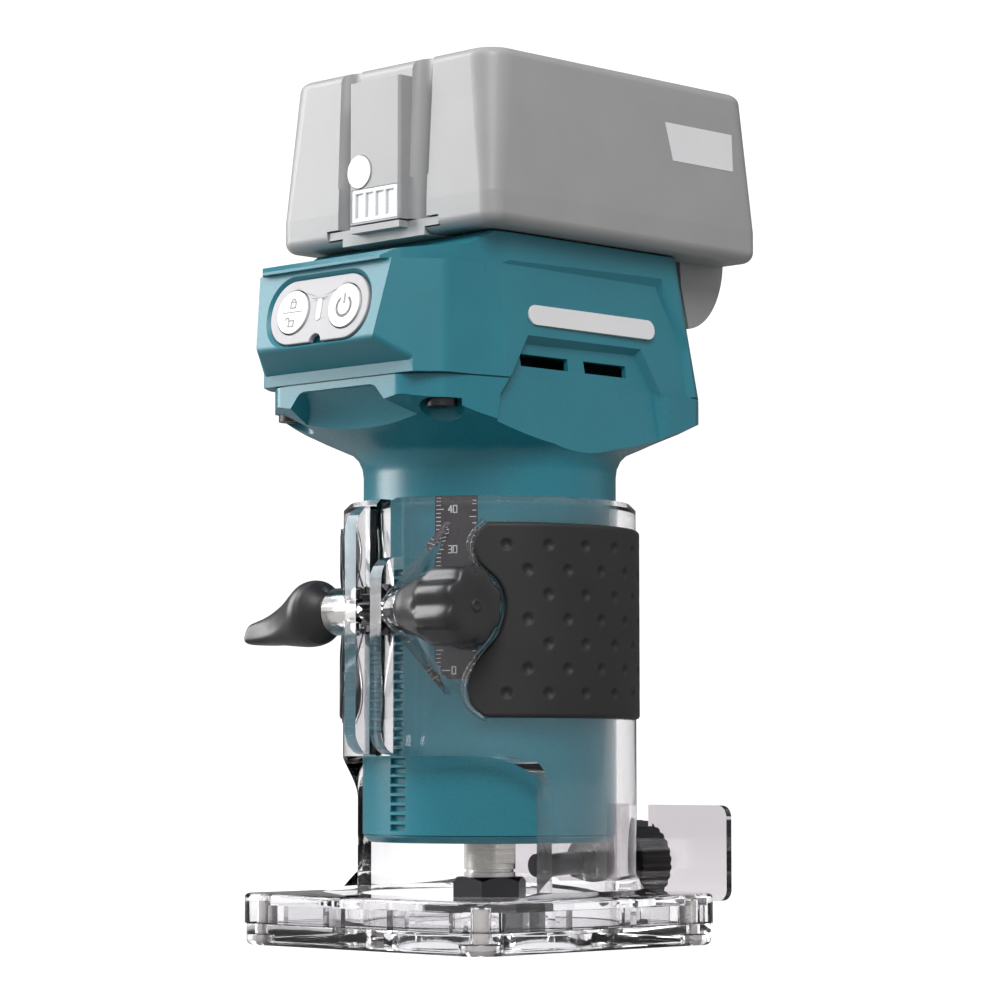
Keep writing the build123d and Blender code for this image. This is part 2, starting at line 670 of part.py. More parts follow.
def make_battery_lower():
    case = pack_slab(0.0, PACK_BOTTOM, PACK_SEAM)
    case = fillet(case.faces().sort_by(Axis.Z)[0].outer_wire().edges(), 3.0)
    case += front_tab(PACK_BOTTOM + 1.6, PACK_SEAM)
    case -= flutes(PACK_BOTTOM + 2.0, 200)
    belly = Spline((48.2, 160.0), (54.8, 162.9), (59.6, 169.0), (61.9, 179.8))
    hump_side = make_face([belly, Polyline((61.9, 179.8), (44.6, 179.8), (45.2, 171.0), (48.2, 160.0))])
    case += extrude(Plane.YZ * hump_side, 26, both=True)
    case -= pack_slab(2.6, 182.2, 200, 3.0) & block(-60, 60, PACK_WALL_FRONT, 80, 180, 200)
    case -= block(-15.4, 15.4, -60, 43.0, 170, 181.3)
    case -= block(-20.4, 20.4, -60, 43.0, 178.5, 181.3)
    case -= block(-9.4, 9.4, 53.5, 80, 164.5, 174.5)
    return case - gauge_seat()


def make_battery_upper():
    case = pack_loft(0.0, PACK_SEAM, PACK_TOP)
    case += front_tab(PACK_SEAM, PACK_TOP - 4.5)
    case = fillet(case.faces().sort_by(Axis.Z)[-1].outer_wire().edges(), 2.6)
    cavity = pack_loft(2.2, PACK_SEAM - 1, PACK_TOP - 2.0, 2.0, 3.0)
    case -= cavity & block(-60, 60, PACK_WALL_FRONT, 80, 180, 230)
    case -= flutes(180, 205)
    for x in (-13.2, 13.2):
        case -= Pos(x, PACK_FRONT - 0.4, 209) * Rot(-4, 0, 0) * Cylinder(3.9, 34)
    case -= rod_y(4.35, -45, -37.4, CHECK_X, CHECK_Z)
    return case - gauge_seat()


def gauge_seat():
    """Pocket for the charge gauge across the joint of the two cases."""
    return block(-8.4, 8.4, -45, TAB_FRONT + 2.0, GAUGE_FOOT, TAB_SEAM)


def make_gauge_panel():
    """Light window on the front of the pack with four gauge bars."""
    panel = block(-8.3, 8.3, TAB_FRONT + 0.1, TAB_FRONT + 1.9, GAUGE_FOOT + 0.1, TAB_SEAM - 0.1)
    for i in range(4):
        x = -5.55 + 3.7 * i
        panel -= block(x - 1.25, x + 1.25, -45, TAB_FRONT + 0.5, GAUGE_FOOT + 1.1, TAB_SEAM - 1.2)
    return panel


def make_gauge_button():
    return rod_y(4.2, TAB_FRONT - 0.3, TAB_FRONT + 2.4, CHECK_X, CHECK_Z)


def make_battery_latch():
    body = block(-9.0, 9.0, 54.0, 60.4, 164.9, 170.6)
    return fillet(body.edges().filter_by(Axis.X), 1.0)


def make_battery_cells():
    cells = []
    for z in (191.6, 209.9):
        for i in range(5):
            y = CELL_MIDDLE + CELL_STEP * (i - 2)
            cells.append(rod_x(CELL_R, -CELL_LENGTH / 2, CELL_LENGTH / 2, y, z))
    return cells


def main():
    os.makedirs("parts", exist_ok=True)
    soles = [make_sole_screw(x, y) for x, y in four(SCREW_X, SCREW_FRONT, SCREW_REAR)]
    save("base_housing", make_base_housing())
    save("sub_base", make_sub_base())
    save("sub_base_screws", *soles)
    save("rubber_grip", make_grip())
    save("clamp_bolt", make_clamp_bolt())
    save("pinion_shaft", make_pinion_shaft())
    save("depth_knob", make_depth_knob())
    save("clamp_lever", make_clamp_lever())
    save("guide_screw_head", make_guide_screw() - make_guide_shank())
    save("guide_screw_shank", make_guide_shank())
    save("chip_guard", make_chip_guard())

    save("motor_housing", make_motor_housing())
    save("depth_scale", make_scale_plate())
    save("motor_cover", make_motor_cover())
    save("bearing_bracket", make_bearing_bracket())
    save("lower_bearing", make_bearing(29.0))
    save("upper_bearing", make_bearing(112.0))
    save("stator_core", make_stator())
    save("stator_coils", *make_coils())
    save("rotor", make_rotor())
    save("spindle_shaft", make_spindle_shaft())
    save("collet", make_collet())
    save("collet_nut", make_collet_nut())
    save("cooling_fan", make_fan())

    save("head_housing", make_head_housing())
    save("side_badges", side_badge(-1), side_badge(1))
    save("head_screws", *[make_head_screw(x, y) for x, y in head_screw_spots()])
    save("control_panel", make_control_panel())
    save("lock_button", make_button(-BUTTON_X))
    save("power_button", make_button(BUTTON_X))
    save("led_window", make_led_window())
    save("switch_board", *make_switch_board())
    save("controller_board", *make_controller_board())
    save("battery_rail", make_battery_rail())
    save("contact_blades", *make_contact_blades())

    save("battery_lower_case", make_battery_lower())
    save("battery_upper_case", make_battery_upper())
    save("battery_cells", *make_battery_cells())
    save("gauge_panel", make_gauge_panel())
    save("gauge_button", make_gauge_button())
    save("battery_latch", make_battery_latch())


main()
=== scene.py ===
# %% [markdown]
# # Trim router
# The imported CAD model is the fixed frame: every casing, shaft and screw is already in its
# place, in metres, with the spindle axis on Z and the sole at zero. This script adds the
# looks around it. First the frame is loaded.

# %% Load the frame
import json
import math

import bmesh
import bpy
import numpy as np
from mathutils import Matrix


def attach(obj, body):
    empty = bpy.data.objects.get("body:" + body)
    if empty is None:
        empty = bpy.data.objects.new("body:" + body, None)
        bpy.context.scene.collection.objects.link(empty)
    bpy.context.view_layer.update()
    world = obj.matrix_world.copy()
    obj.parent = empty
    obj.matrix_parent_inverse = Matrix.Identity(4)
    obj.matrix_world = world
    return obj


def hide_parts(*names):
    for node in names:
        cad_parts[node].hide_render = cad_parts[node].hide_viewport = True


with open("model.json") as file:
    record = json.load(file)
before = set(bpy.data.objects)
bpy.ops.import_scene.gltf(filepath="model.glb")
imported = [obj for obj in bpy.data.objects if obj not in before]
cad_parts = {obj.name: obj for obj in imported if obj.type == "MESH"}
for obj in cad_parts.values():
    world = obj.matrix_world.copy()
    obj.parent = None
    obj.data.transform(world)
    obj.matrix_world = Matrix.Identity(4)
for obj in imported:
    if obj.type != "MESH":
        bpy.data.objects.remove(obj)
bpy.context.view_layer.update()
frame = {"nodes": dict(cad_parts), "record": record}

MM = 0.001
scene = bpy.context.scene

# %% [markdown]
# ## Camera
# A product picture of a hand tool is taken with a long lens from a little below the middle
# of the tool, tilted up, so that the tool looks tall. The lens of about 120 mm keeps the
# verticals nearly parallel. The whole shot is one camera with a very small sideways shift.

# %% Camera
CAMERA_AZIMUTH = math.radians(45.0)
CAMERA_TILT = math.radians(4.46)
CAMERA_DISTANCE = 0.874
CAMERA_HEIGHT = 0.0454

camera = bpy.data.objects.new("camera", bpy.data.cameras.new("camera"))
scene.collection.objects.link(camera)
camera.data.lens = 122.4
camera.data.sensor_width = 36.0
camera.data.shift_x = 0.0103
camera.data.clip_start = 0.05
camera.location = (CAMERA_DISTANCE * math.sin(CAMERA_AZIMUTH),
                   -CAMERA_DISTANCE * math.cos(CAMERA_AZIMUTH), CAMERA_HEIGHT)
camera.rotation_euler = (math.pi / 2 + CAMERA_TILT, 0, CAMERA_AZIMUTH)
scene.camera = camera
print("camera at (m):", [round(v, 3) for v in camera.location])

# %% [markdown]
# ## Studio
# The tool stands on a white sweep: a floor that bends up into a wall far behind it, so that
# no horizon shows. A pale world fills the shadows. One tall soft box stands far to the left
# and draws the long highlight down the barrel, a fill hangs above the camera, and a weak one
# hangs over the tool. The right side gets no lamp of its own, so it stays deeper.

# %% Studio
def area_light(name, place, target, size, size_y, power):
    """Rectangular lamp at `place`, turned to face `target`."""
    lamp = bpy.data.lights.new(name, "AREA")
    lamp.shape = "RECTANGLE"
    lamp.size = size
    lamp.size_y = size_y
    lamp.energy = power
    holder = bpy.data.objects.new(name, lamp)
    scene.collection.objects.link(holder)
    holder.location = place
    away = np.array(place, float) - np.array(target, float)
    flat = math.hypot(away[0], away[1])
    holder.rotation_euler = (math.atan2(flat, away[2]), 0, math.atan2(away[0], -away[1]))


WORLD_GLOW = 0.60
world = bpy.data.worlds.new("studio")
scene.world = world
world.use_nodes = True
world.node_tree.nodes["Background"].inputs["Color"].default_value = (1.0, 1.0, 1.0, 1.0)
world.node_tree.nodes["Background"].inputs["Strength"].default_value = WORLD_GLOW
scene.view_settings.view_transform = "Standard"

MIDDLE = (0.0, 0.0, 0.11)
area_light("soft_box_left", (-0.66, -0.42, 0.46), MIDDLE, 0.46, 0.76, 9.5)
area_light("fill_front", (0.62, -0.55, 0.84), MIDDLE, 0.50, 0.50, 9.0)
area_light("top", (0.10, -0.15, 1.05), MIDDLE, 0.80, 0.80, 1.4)
print("lamps:", len(bpy.data.lights))

# %% [markdown]
# ## Mesh helpers
# Every new piece is a surface worked out on a grid: row by row points, and quads between
# neighbouring rows. A grid may close on itself in either direction, and its two open ends
# may get a fan of triangles to a middle point.

# %% Mesh helpers
def grid_quads(rows, columns, wrap_rows=False, wrap_columns=False):
    """Corner numbers of the quads of a rows x columns grid, wrapped where asked."""
    i = np.arange(rows if wrap_rows else rows - 1)
    j = np.arange(columns if wrap_columns else columns - 1)
    i, j = np.meshgrid(i, j, indexing="ij")
    i2, j2 = (i + 1) % rows, (j + 1) % columns
    quads = np.stack([i * columns + j, i * columns + j2, i2 * columns + j2,
                      i2 * columns + j], axis=-1)
    return quads.reshape(-1, 4)


def mesh_object(name, points, faces, smooth=True):
    """Object at the origin from an array of points (metres) and lists of corner numbers."""
    mesh = bpy.data.meshes.new(name)
    mesh.from_pydata(np.asarray(points, float).reshape(-1, 3).tolist(), [],
                     [list(map(int, f)) for f in faces])
    mesh.validate()
    mesh.polygons.foreach_set("use_smooth", [smooth] * len(mesh.polygons))
    mesh.update()
    piece = bpy.data.objects.new(name, mesh)
    scene.collection.objects.link(piece)
    return piece


def face_outwards(piece):
    """Merges doubled points and points every face of a closed mesh outwards."""
    bm = bmesh.new()
    bm.from_mesh(piece.data)
    bmesh.ops.remove_doubles(bm, verts=bm.verts, dist=1e-6)
    bmesh.ops.recalc_face_normals(bm, faces=bm.faces)
    bm.to_mesh(piece.data)
    bm.free()
    piece.data.update()
    return piece


def tube_surface(name, rings, smooth=True):
    """Closed skin over rings of points (ring, point, xyz), with a fan at each end."""
    rings = np.asarray(rings, float)
    n, m = rings.shape[:2]
    points = np.concatenate([rings.reshape(-1, 3), rings[:1].mean(1), rings[-1:].mean(1)])
    faces = [list(f) for f in grid_quads(n, m, wrap_columns=True)]
    for j in range(m):
        faces.append([n * m, (j + 1) % m, j])
        faces.append([n * m + 1, (n - 1) * m + j, (n - 1) * m + (j + 1) % m])
    return face_outwards(mesh_object(name, points, faces, smooth))


def modifier(piece, kind, **settings):
    """Adds a modifier and sets its values."""
    made = piece.modifiers.new(kind.lower(), kind)
    for key, value in settings.items():
        setattr(made, key, value)


def soften(piece, width_mm, angle=32.0, segments=3):
    """Small rounded edges on a sharp-cornered piece: weld, bevel, weighted normals."""
    modifier(piece, "WELD", merge_threshold=1e-6)
    modifier(piece, "BEVEL", width=width_mm * MM, segments=segments, limit_method="ANGLE",
             angle_limit=math.radians(angle), harden_normals=False, use_clamp_overlap=True)
    modifier(piece, "WEIGHTED_NORMAL", keep_sharp=False, weight=100)
    piece.data.polygons.foreach_set("use_smooth", [True] * len(piece.data.polygons))


# %% [markdown]
# ## Materials
# Moulded plastic is one colour with a fine spark-eroded grain: tiny bumps that spread the
# highlight. The helper below builds that with two noise patterns on Object coordinates, one
# for the grain and one, much larger, for the faint unevenness of gloss and colour.

# %% Shader helpers
def new_material(name):
    """New node material, with its node tree and its main shader."""
    material = bpy.data.materials.new(name)
    material.use_nodes = True
    tree = material.node_tree
    return material, tree, tree.nodes["Principled BSDF"]


def node(tree, kind, **inputs):
    """Adds a shader node and sets the sockets named in inputs (spaces as underscores)."""
    made = tree.nodes.new(kind)
    for key, value in inputs.items():
        made.inputs[key.replace("_", " ")].default_value = value
    return made


def noise(tree, scale, detail):
    """Soft random pattern on Object coordinates; `scale` is its waves in a metre."""
    place = tree.nodes.new("ShaderNodeTexCoord")
    made = node(tree, "ShaderNodeTexNoise", Scale=scale, Detail=detail, Roughness=0.55)
    tree.links.new(place.outputs["Object"], made.inputs["Vector"])
    return made


def spread(tree, source, low, high, from_low=0.3, from_high=0.7):
    """Maps a pattern's middle range to low..high."""
    made = node(tree, "ShaderNodeMapRange", From_Min=from_low, From_Max=from_high,
                To_Min=low, To_Max=high)
    tree.links.new(source, made.inputs["Value"])
    return made.outputs["Result"]


def blend(tree, factor, first, second):
    """Colour between two colours, by the factor from another node."""
    made = tree.nodes.new("ShaderNodeMix")
    made.data_type = "RGBA"
    made.inputs["A"].default_value = (*first, 1)
    made.inputs["B"].default_value = (*second, 1)
    tree.links.new(factor, made.inputs["Factor"])
    return made.outputs["Result"]


def raise_bump(tree, shader, height, strength, distance):
    """Lets a pattern stand out as fine relief, `distance` metres high at full strength."""
    bump = node(tree, "ShaderNodeBump", Strength=strength, Distance=distance)
    tree.links.new(height, bump.inputs["Height"])
    tree.links.new(bump.outputs["Normal"], shader.inputs["Normal"])


# %% [markdown]
# ## Moulded plastic and rubber
# Most of the tool is one recipe with other numbers: a colour, a gloss and the size of the
# grain that the mould leaves. Giving each finish its own node tree by hand would be slower
# to read and easier to get wrong.

# %% Moulded plastic
CLOUD_WAVES = 55.0
GRAIN_HEIGHT = 0.0002


def moulded(name, colour, roughness, grain_mm=0.5, grain=0.06, variation=0.06, specular=0.5):
    """Textured plastic: colour varies by `variation`, gloss a little, grain as bump."""
    material, tree, shader = new_material(name)
    shader.inputs["Specular IOR Level"].default_value = specular
    cloud = spread(tree, noise(tree, CLOUD_WAVES, 2.0).outputs["Fac"], 0.0, 1.0)
    colours = blend(tree, cloud, [c * (1 - variation) for c in colour],
                    [min(1, c * (1 + variation)) for c in colour])
    tree.links.new(colours, shader.inputs["Base Color"])
    fine = noise(tree, 1.0 / (grain_mm * MM), 2.0)
    tree.links.new(spread(tree, fine.outputs["Fac"], roughness - 0.05, roughness + 0.05),
                   shader.inputs["Roughness"])
    raise_bump(tree, shader, fine.outputs["Fac"], grain, GRAIN_HEIGHT)
    return material


# %% [markdown]
# ## Clear plastic
# The base is a clear moulding with walls of a few millimetres. Real glass settings bend the
# light so much that the barrel behind would be lost. So the body of the wall bends little,
# and a clear coat on top of it carries the reflections.

# %% Clear plastic
def clear_plastic(name, tint, edge_tint_and_shade, ior=1.22):
    """Polished clear moulding. The walls are thin, so light bends little in them: a low index
    carries the see-through part, and a clear coat of index 1.55 gives the true reflections.
    Where a wall is seen edge on, more plastic lies in the way, so it turns to the darker edge
    colour; that edge colour is also painted shade, standing in for the dark surroundings an edge
    reflects."""
    material, tree, shader = new_material(name)
    shader.inputs["Transmission Weight"].default_value = 1.0
    shader.inputs["IOR"].default_value = ior
    shader.inputs["Coat Weight"].default_value = 0.4
    shader.inputs["Coat IOR"].default_value = 1.55
    shader.inputs["Coat Roughness"].default_value = 0.02
    # Painted shade: the base colour darkens edge on, partly for the longer path through the
    # plastic and partly in place of reflected dark surroundings.
    facing = node(tree, "ShaderNodeLayerWeight", Blend=0.35)
    tree.links.new(blend(tree, facing.outputs["Facing"], tint, edge_tint_and_shade),
                   shader.inputs["Base Color"])
    wave = noise(tree, 60.0, 1.0)
    tree.links.new(spread(tree, wave.outputs["Fac"], 0.02, 0.04), shader.inputs["Roughness"])
    raise_bump(tree, shader, wave.outputs["Fac"], 0.05, 0.001)
    return material


# %% [markdown]
# ## Metal
# The spindle, the bolts and the screws are turned steel. A lathe leaves fine rings, which a
# noise stretched flat across Z draws as thin lines; they scatter the highlight a little.

# %% Metal
RING_WAVES = (40.0, 40.0, 3200.0)


def metal(name, colour, roughness):
    """Machined metal: fine rings left by the tool, drawn by noise stretched along Z."""
    material, tree, shader = new_material(name)
    shader.inputs["Base Color"].default_value = (*colour, 1)
    shader.inputs["Metallic"].default_value = 1.0
    place = tree.nodes.new("ShaderNodeTexCoord")
    stretch = tree.nodes.new("ShaderNodeMapping")
    stretch.inputs["Scale"].default_value = RING_WAVES
    tree.links.new(place.outputs["Object"], stretch.inputs["Vector"])
    lines = node(tree, "ShaderNodeTexNoise", Scale=1.0, Detail=3.0)
    tree.links.new(stretch.outputs["Vector"], lines.inputs["Vector"])
    tree.links.new(spread(tree, lines.outputs["Fac"], roughness - 0.06, roughness + 0.08),
                   shader.inputs["Roughness"])
    raise_bump(tree, shader, lines.outputs["Fac"], 0.03, GRAIN_HEIGHT)
    return material


# %% [markdown]
# ## Finishes
# The casing is teal moulded plastic with a fine grain, the motor's barrel the same colour
# on metal, and the touch parts are black plastic and rubber. The base is clear. Each finish
# has one name, and every CAD node takes the finish of its slot.

# %% Materials
TEAL = (0.012, 0.155, 0.202)
finishes = {
    "teal_plastic": moulded("teal_plastic", TEAL, 0.40, 0.35, 0.16, 0.05),
    "teal_metal": moulded("teal_metal", (0.012, 0.155, 0.205), 0.30, 0.25, 0.03, 0.03),
    "black_rubber": moulded("black_rubber", (0.015, 0.0145, 0.015), 0.58, 0.22, 0.20, 0.12, 0.4),
    "black_plastic": moulded("black_plastic", (0.015, 0.014, 0.016), 0.36, 0.25, 0.10, 0.10),
    "panel_grey": moulded("panel_grey", (0.30, 0.295, 0.31), 0.40, 0.3, 0.03, 0.02),
    "white_plastic": moulded("white_plastic", (0.62, 0.62, 0.63), 0.35, 0.4, 0.02, 0.02),
    "battery_grey": moulded("battery_grey", (0.27, 0.268, 0.27), 0.42, 0.5, 0.10, 0.03),
    "battery_grey_light": moulded("battery_light", (0.55, 0.55, 0.56), 0.25, 0.6, 0.02, 0.02),
    "scale_print": moulded("scale_dark", (0.030, 0.026, 0.030), 0.22, 0.3, 0.02, 0.08),
    "circuit_green": moulded("circuit_green", (0.02, 0.15, 0.06), 0.35, 0.4, 0.05, 0.15),
    "cell_wrap": moulded("cell_wrap", (0.06, 0.17, 0.42), 0.25, 0.8, 0.02, 0.05),
    "clear_plastic": clear_plastic("clear_plastic", (0.965, 0.96, 0.97), (0.46, 0.44, 0.46)),
    "clear_sole": clear_plastic("clear_sole", (0.93, 0.92, 0.94), (0.60, 0.58, 0.61), ior=1.42),
    "smoke_plastic": clear_plastic("smoke_plastic", (0.62, 0.59, 0.61), (0.40, 0.38, 0.40)),
    "steel": metal("steel", (0.50, 0.48, 0.46), 0.30),
    "dark_steel": metal("dark_steel", (0.045, 0.043, 0.047), 0.38),
    "copper": metal("copper", (0.80, 0.38, 0.20), 0.30),
    "lamination": metal("lamination", (0.30, 0.30, 0.32), 0.45),
}
slot_of = {s["node"]: s["material_slot"] for s in frame["record"]["subparts"]}
for name, item in frame["nodes"].items():
    item.data.materials.clear()
    item.data.materials.append(finishes[slot_of[name]])
print("materials:", len(finishes))

# %% [markdown]
# ## Edges of the CAD pieces
# A moulding has no knife edges. The CAD pieces keep their shape, and modifiers round their
# sharp corners by a few tenths of a millimetre.

# %% Soft edges
EDGE_MM = {"head_housing": 0.9, "motor_housing": 0.5, "base_housing": 0.45, "sub_base": 0.3,
           "chip_guard": 0.35, "control_panel": 0.25, "side_badges": 0.3, "lock_button": 0.2,
           "power_button": 0.2, "collet_nut": 0.3, "guide_screw_head": 0.15,
           "battery_lower_case": 0.6, "battery_upper_case": 0.4, "gauge_panel": 0.3,
           "gauge_button": 0.2, "battery_latch": 0.4, "head_screws": 0.2,
           "sub_base_screws": 0.2, "motor_cover": 0.2, "spindle_shaft": 0.15,
           "pinion_shaft": 0.08}
for name, width in EDGE_MM.items():
    soften(frame["nodes"][name], width)
print("nodes with soft edges:", len(EDGE_MM))

# %% [markdown]
# ## Window of the grip
# A soft sleeve wraps the back and both sides of the clear ring, and leaves a waisted window
# in front for the clamp and the knob. The window's edge is a smooth curve through a few
# half widths, so the sleeve and the bead beside it can ask for the same line.

# %% Grip window
GRIP_R = 38.5
GRIP_LOW, GRIP_HIGH = 57.0, 105.3
EDGE_Z = [55.8, 59.5, 64.0, 70.5, 77.5, 84.0, 90.5, 96.0, 101.0, 106.5]
EDGE_X = [28.0, 24.2, 22.9, 24.6, 28.6, 29.8, 28.6, 24.8, 24.2, 27.5]


def window_edge(z):
    """Half width of the front window at height z: a smooth curve through a few widths."""
    slope = np.gradient(EDGE_X, EDGE_Z)
    k = np.clip(np.searchsorted(EDGE_Z, z) - 1, 0, len(EDGE_Z) - 2)
    z0, z1 = np.take(EDGE_Z, k), np.take(EDGE_Z, k + 1)
    t, step = (z - z0) / (z1 - z0), z1 - z0
    return ((2 * t**3 - 3 * t**2 + 1) * np.take(EDGE_X, k)
            + (t**3 - 2 * t**2 + t) * step * np.take(slope, k)
            + (3 * t**2 - 2 * t**3) * np.take(EDGE_X, k + 1)
            + (t**3 - t**2) * step * np.take(slope, k + 1))


def around(angle, radius, z):
    """Point on a cylinder; the angle is 0 at the front (-Y) and grows towards +X."""
    return np.stack(np.broadcast_arrays(radius * np.sin(angle), -radius * np.cos(angle), z), -1)


# %% [markdown]
# ## Rubber grip
# The sleeve is a sheet on a cylinder: one parameter is the height, the other runs from one
# edge of the window round the back to the other. Staggered rows of small hollows give the
# fingers hold. The outer skin has a grid fine enough to press them into it; the inner skin
# needs only every second row and column.

# %% Rubber grip
GRIP_MIDDLE = 81.4
PITCH_Z = 6.1
PITCH_TURN = math.radians(16.1)
EDGE_ROOM = 5.0
CROWD = 0.35 / (2 * np.pi)


def dimples(angle, z, radius=1.5, depth=0.75):
    """Hollows on a staggered lattice: in each cell, depth * (1 - (r / radius)^2) around the
    cell's centre. A cell closer than EDGE_ROOM to the front window stays plain."""
    row = np.round((z - GRIP_MIDDLE) / PITCH_Z)
    shift = 0.5 * (1 - np.abs(row) % 2)
    column = np.round((angle - math.pi) / PITCH_TURN - shift) + shift
    centre = math.pi + column * PITCH_TURN
    first = np.arcsin(window_edge(GRIP_MIDDLE + row * PITCH_Z) / GRIP_R)
    room = (np.minimum(centre, 2 * math.pi - centre) - first) * GRIP_R
    r2 = ((angle - centre) * GRIP_R) ** 2 + (z - GRIP_MIDDLE - row * PITCH_Z) ** 2
    hollow = depth * np.clip(1 - r2 / radius**2, 0, 1)
    return hollow * (room > EDGE_ROOM) * (np.abs(row) <= 3)


def grip_sleeve(rows=151, columns=431, thick=2.0, round_mm=1.1):
    """Outer skin minus the dimples and a quarter-round fall at every border, and an inner
    skin `thick` below on every second row and column. Steps crowd towards the borders."""
    v = np.linspace(0, 1, rows)
    v = v - CROWD * np.sin(2 * np.pi * v)
    z = (GRIP_LOW + (GRIP_HIGH - GRIP_LOW) * v)[:, None]
    u = np.linspace(0, 1, columns)
    u = (u - CROWD * np.sin(2 * np.pi * u))[None, :]
    first = np.arcsin(window_edge(z) / GRIP_R)
    angle = first + u * (2 * np.pi - 2 * first)
    to_side = np.minimum(angle - first, 2 * np.pi - first - angle) * GRIP_R
    to_end = np.minimum(z - GRIP_LOW, GRIP_HIGH - z)
    fall = dimples(angle, z)
    for gap in (to_side, to_end):
        inside = 1 - np.clip(gap / round_mm, 0, 1)
        fall = fall + round_mm * (1 - np.sqrt(1 - inside**2))
    outer = around(angle, GRIP_R - np.minimum(fall, thick - 0.15), z)
    inner = around(angle, np.full(angle.shape, GRIP_R - thick), z)[::2, ::2]
    return outer, inner


def border(rows, columns):
    """Corner numbers once round the edge of a grid."""
    return np.concatenate([np.arange(columns), np.arange(1, rows) * columns + columns - 1,
                           (rows - 1) * columns + np.arange(columns - 2, -1, -1),
                           np.arange(rows - 2, 0, -1) * columns])


# %% [markdown]
# ## Closing the grip
# The two skins are joined round their border by one ring of faces. Each face takes two steps
# of the fine outer rim and one step of the coarse inner one.

# %% Grip mesh
outer, inner = grip_sleeve()
count = outer.shape[0] * outer.shape[1]
points = np.concatenate([outer.reshape(-1, 3), inner.reshape(-1, 3)])
faces = grid_quads(*outer.shape[:2]).tolist()
faces += (grid_quads(*inner.shape[:2])[:, ::-1] + count).tolist()
rim, hem = border(*outer.shape[:2]), border(*inner.shape[:2]) + count
faces += np.stack([np.roll(rim, -2)[::2], np.roll(rim, -1)[::2], rim[::2], hem,
                   np.roll(hem, -1)], -1).tolist()
grip = face_outwards(mesh_object("rubber_sleeve", points * MM, faces))
grip.data.materials.append(finishes["black_rubber"])
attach(grip, "base")
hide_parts("rubber_grip")
print("grip faces:", len(grip.data.polygons))

# %% [markdown]
# ## Bead round the grip
# The clear ring has a fine raised bead that follows the window's edge and keeps the rubber
# from peeling. It is a thin tube along the same curve, so it is a circle carried on a path.

# %% Bead
def carried_circle(name, path, radius, segments=10):
    """Tube of `radius` along a path (mm): a circle in the plane across each path step."""
    path = np.asarray(path, float)
    along = np.gradient(path, axis=0)
    along /= np.linalg.norm(along, axis=1)[:, None]
    out = path * (1, 1, 0)
    out /= np.linalg.norm(out, axis=1)[:, None]
    across = np.cross(along, out)
    across /= np.linalg.norm(across, axis=1)[:, None]
    out = np.cross(across, along)
    a = np.linspace(0, 2 * np.pi, segments, endpoint=False)[None, :, None]
    rings = path[:, None] + radius * (np.cos(a) * across[:, None] + np.sin(a) * out[:, None])
    return tube_surface(name, rings * MM)


BEAD_AT, BEAD_R, BEAD_GAP = 37.35, 0.55, 0.030

for label, side in (("left", -1), ("right", 1)):
    z = np.linspace(GRIP_LOW - 0.5, GRIP_HIGH + 0.5, 90)
    angle = side * (np.arcsin(window_edge(z) / GRIP_R) - BEAD_GAP)
    bead = carried_circle("grip_bead_" + label, around(angle, BEAD_AT, z), BEAD_R)
    bead.data.materials.append(finishes["clear_plastic"])
    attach(bead, "base")
    print("bead faces:", len(bead.data.polygons))

# %% [markdown]
# ## Depth knob
# The knob is turned, then eight scallops are pressed into its rim. As a surface that is a
# radius which depends on the station along the axis and dips eight times a turn. The dips
# start at the end of the collar and run out before the face.

# %% Depth knob
KNOB_AXIS = np.array([0.0, -38.0, 84.0])


def lobed_knob(lobes=8, around_steps=192):
    """Radius = profile(x) - depth(x) * (1 + cos(lobes * angle)) / 2, sharpened to a power."""
    profile = np.array([(10.7, 4.3, 0), (10.7, 6.2, 0), (11.0, 6.5, 0), (12.5, 6.7, 0),
                        (15.5, 7.6, 0), (18.5, 8.7, 0), (20.0, 9.1, 0.2), (20.6, 9.5, 0.9),
                        (21.6, 10.15, 1.5), (23.0, 10.35, 1.65), (26.0, 10.35, 1.6),
                        (29.0, 10.3, 1.5), (31.3, 10.2, 1.4), (32.4, 9.8, 1.25),
                        (33.1, 9.2, 1.0), (33.4, 8.4, 0.6), (33.5, 7.2, 0.2), (33.5, 5.0, 0),
                        (33.45, 3.0, 0), (33.4, 1.9, 0), (33.4, 1.5, 0), (33.75, 1.35, 0),
                        (33.8, 1.0, 0), (33.6, 0.7, 0), (33.55, 0.3, 0)])
    turn = np.linspace(0, 2 * np.pi, around_steps, endpoint=False)[None, :]
    dip = ((1 + np.cos(lobes * turn)) / 2) ** 1.3
    radius = profile[:, 1:2] - profile[:, 2:3] * dip
    rings = np.stack(np.broadcast_arrays(profile[:, :1], radius * np.sin(turn),
                                         radius * np.cos(turn)), -1)
    return rings + KNOB_AXIS


knob = tube_surface("knob_grip", lobed_knob() * MM)
knob.data.materials.append(finishes["black_plastic"])
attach(knob, "depth_knob")
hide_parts("depth_knob")
print("knob faces:", len(knob.data.polygons))

# %% [markdown]
# ## Clamp lever
# A thumb lever: a domed hub that thins into a flat wing. Its underside stays level while its
# back slopes down to the tip. Every cross-section is a superellipse, round at the hub and
# nearly square at the tip, and its top leans away from the thumb.

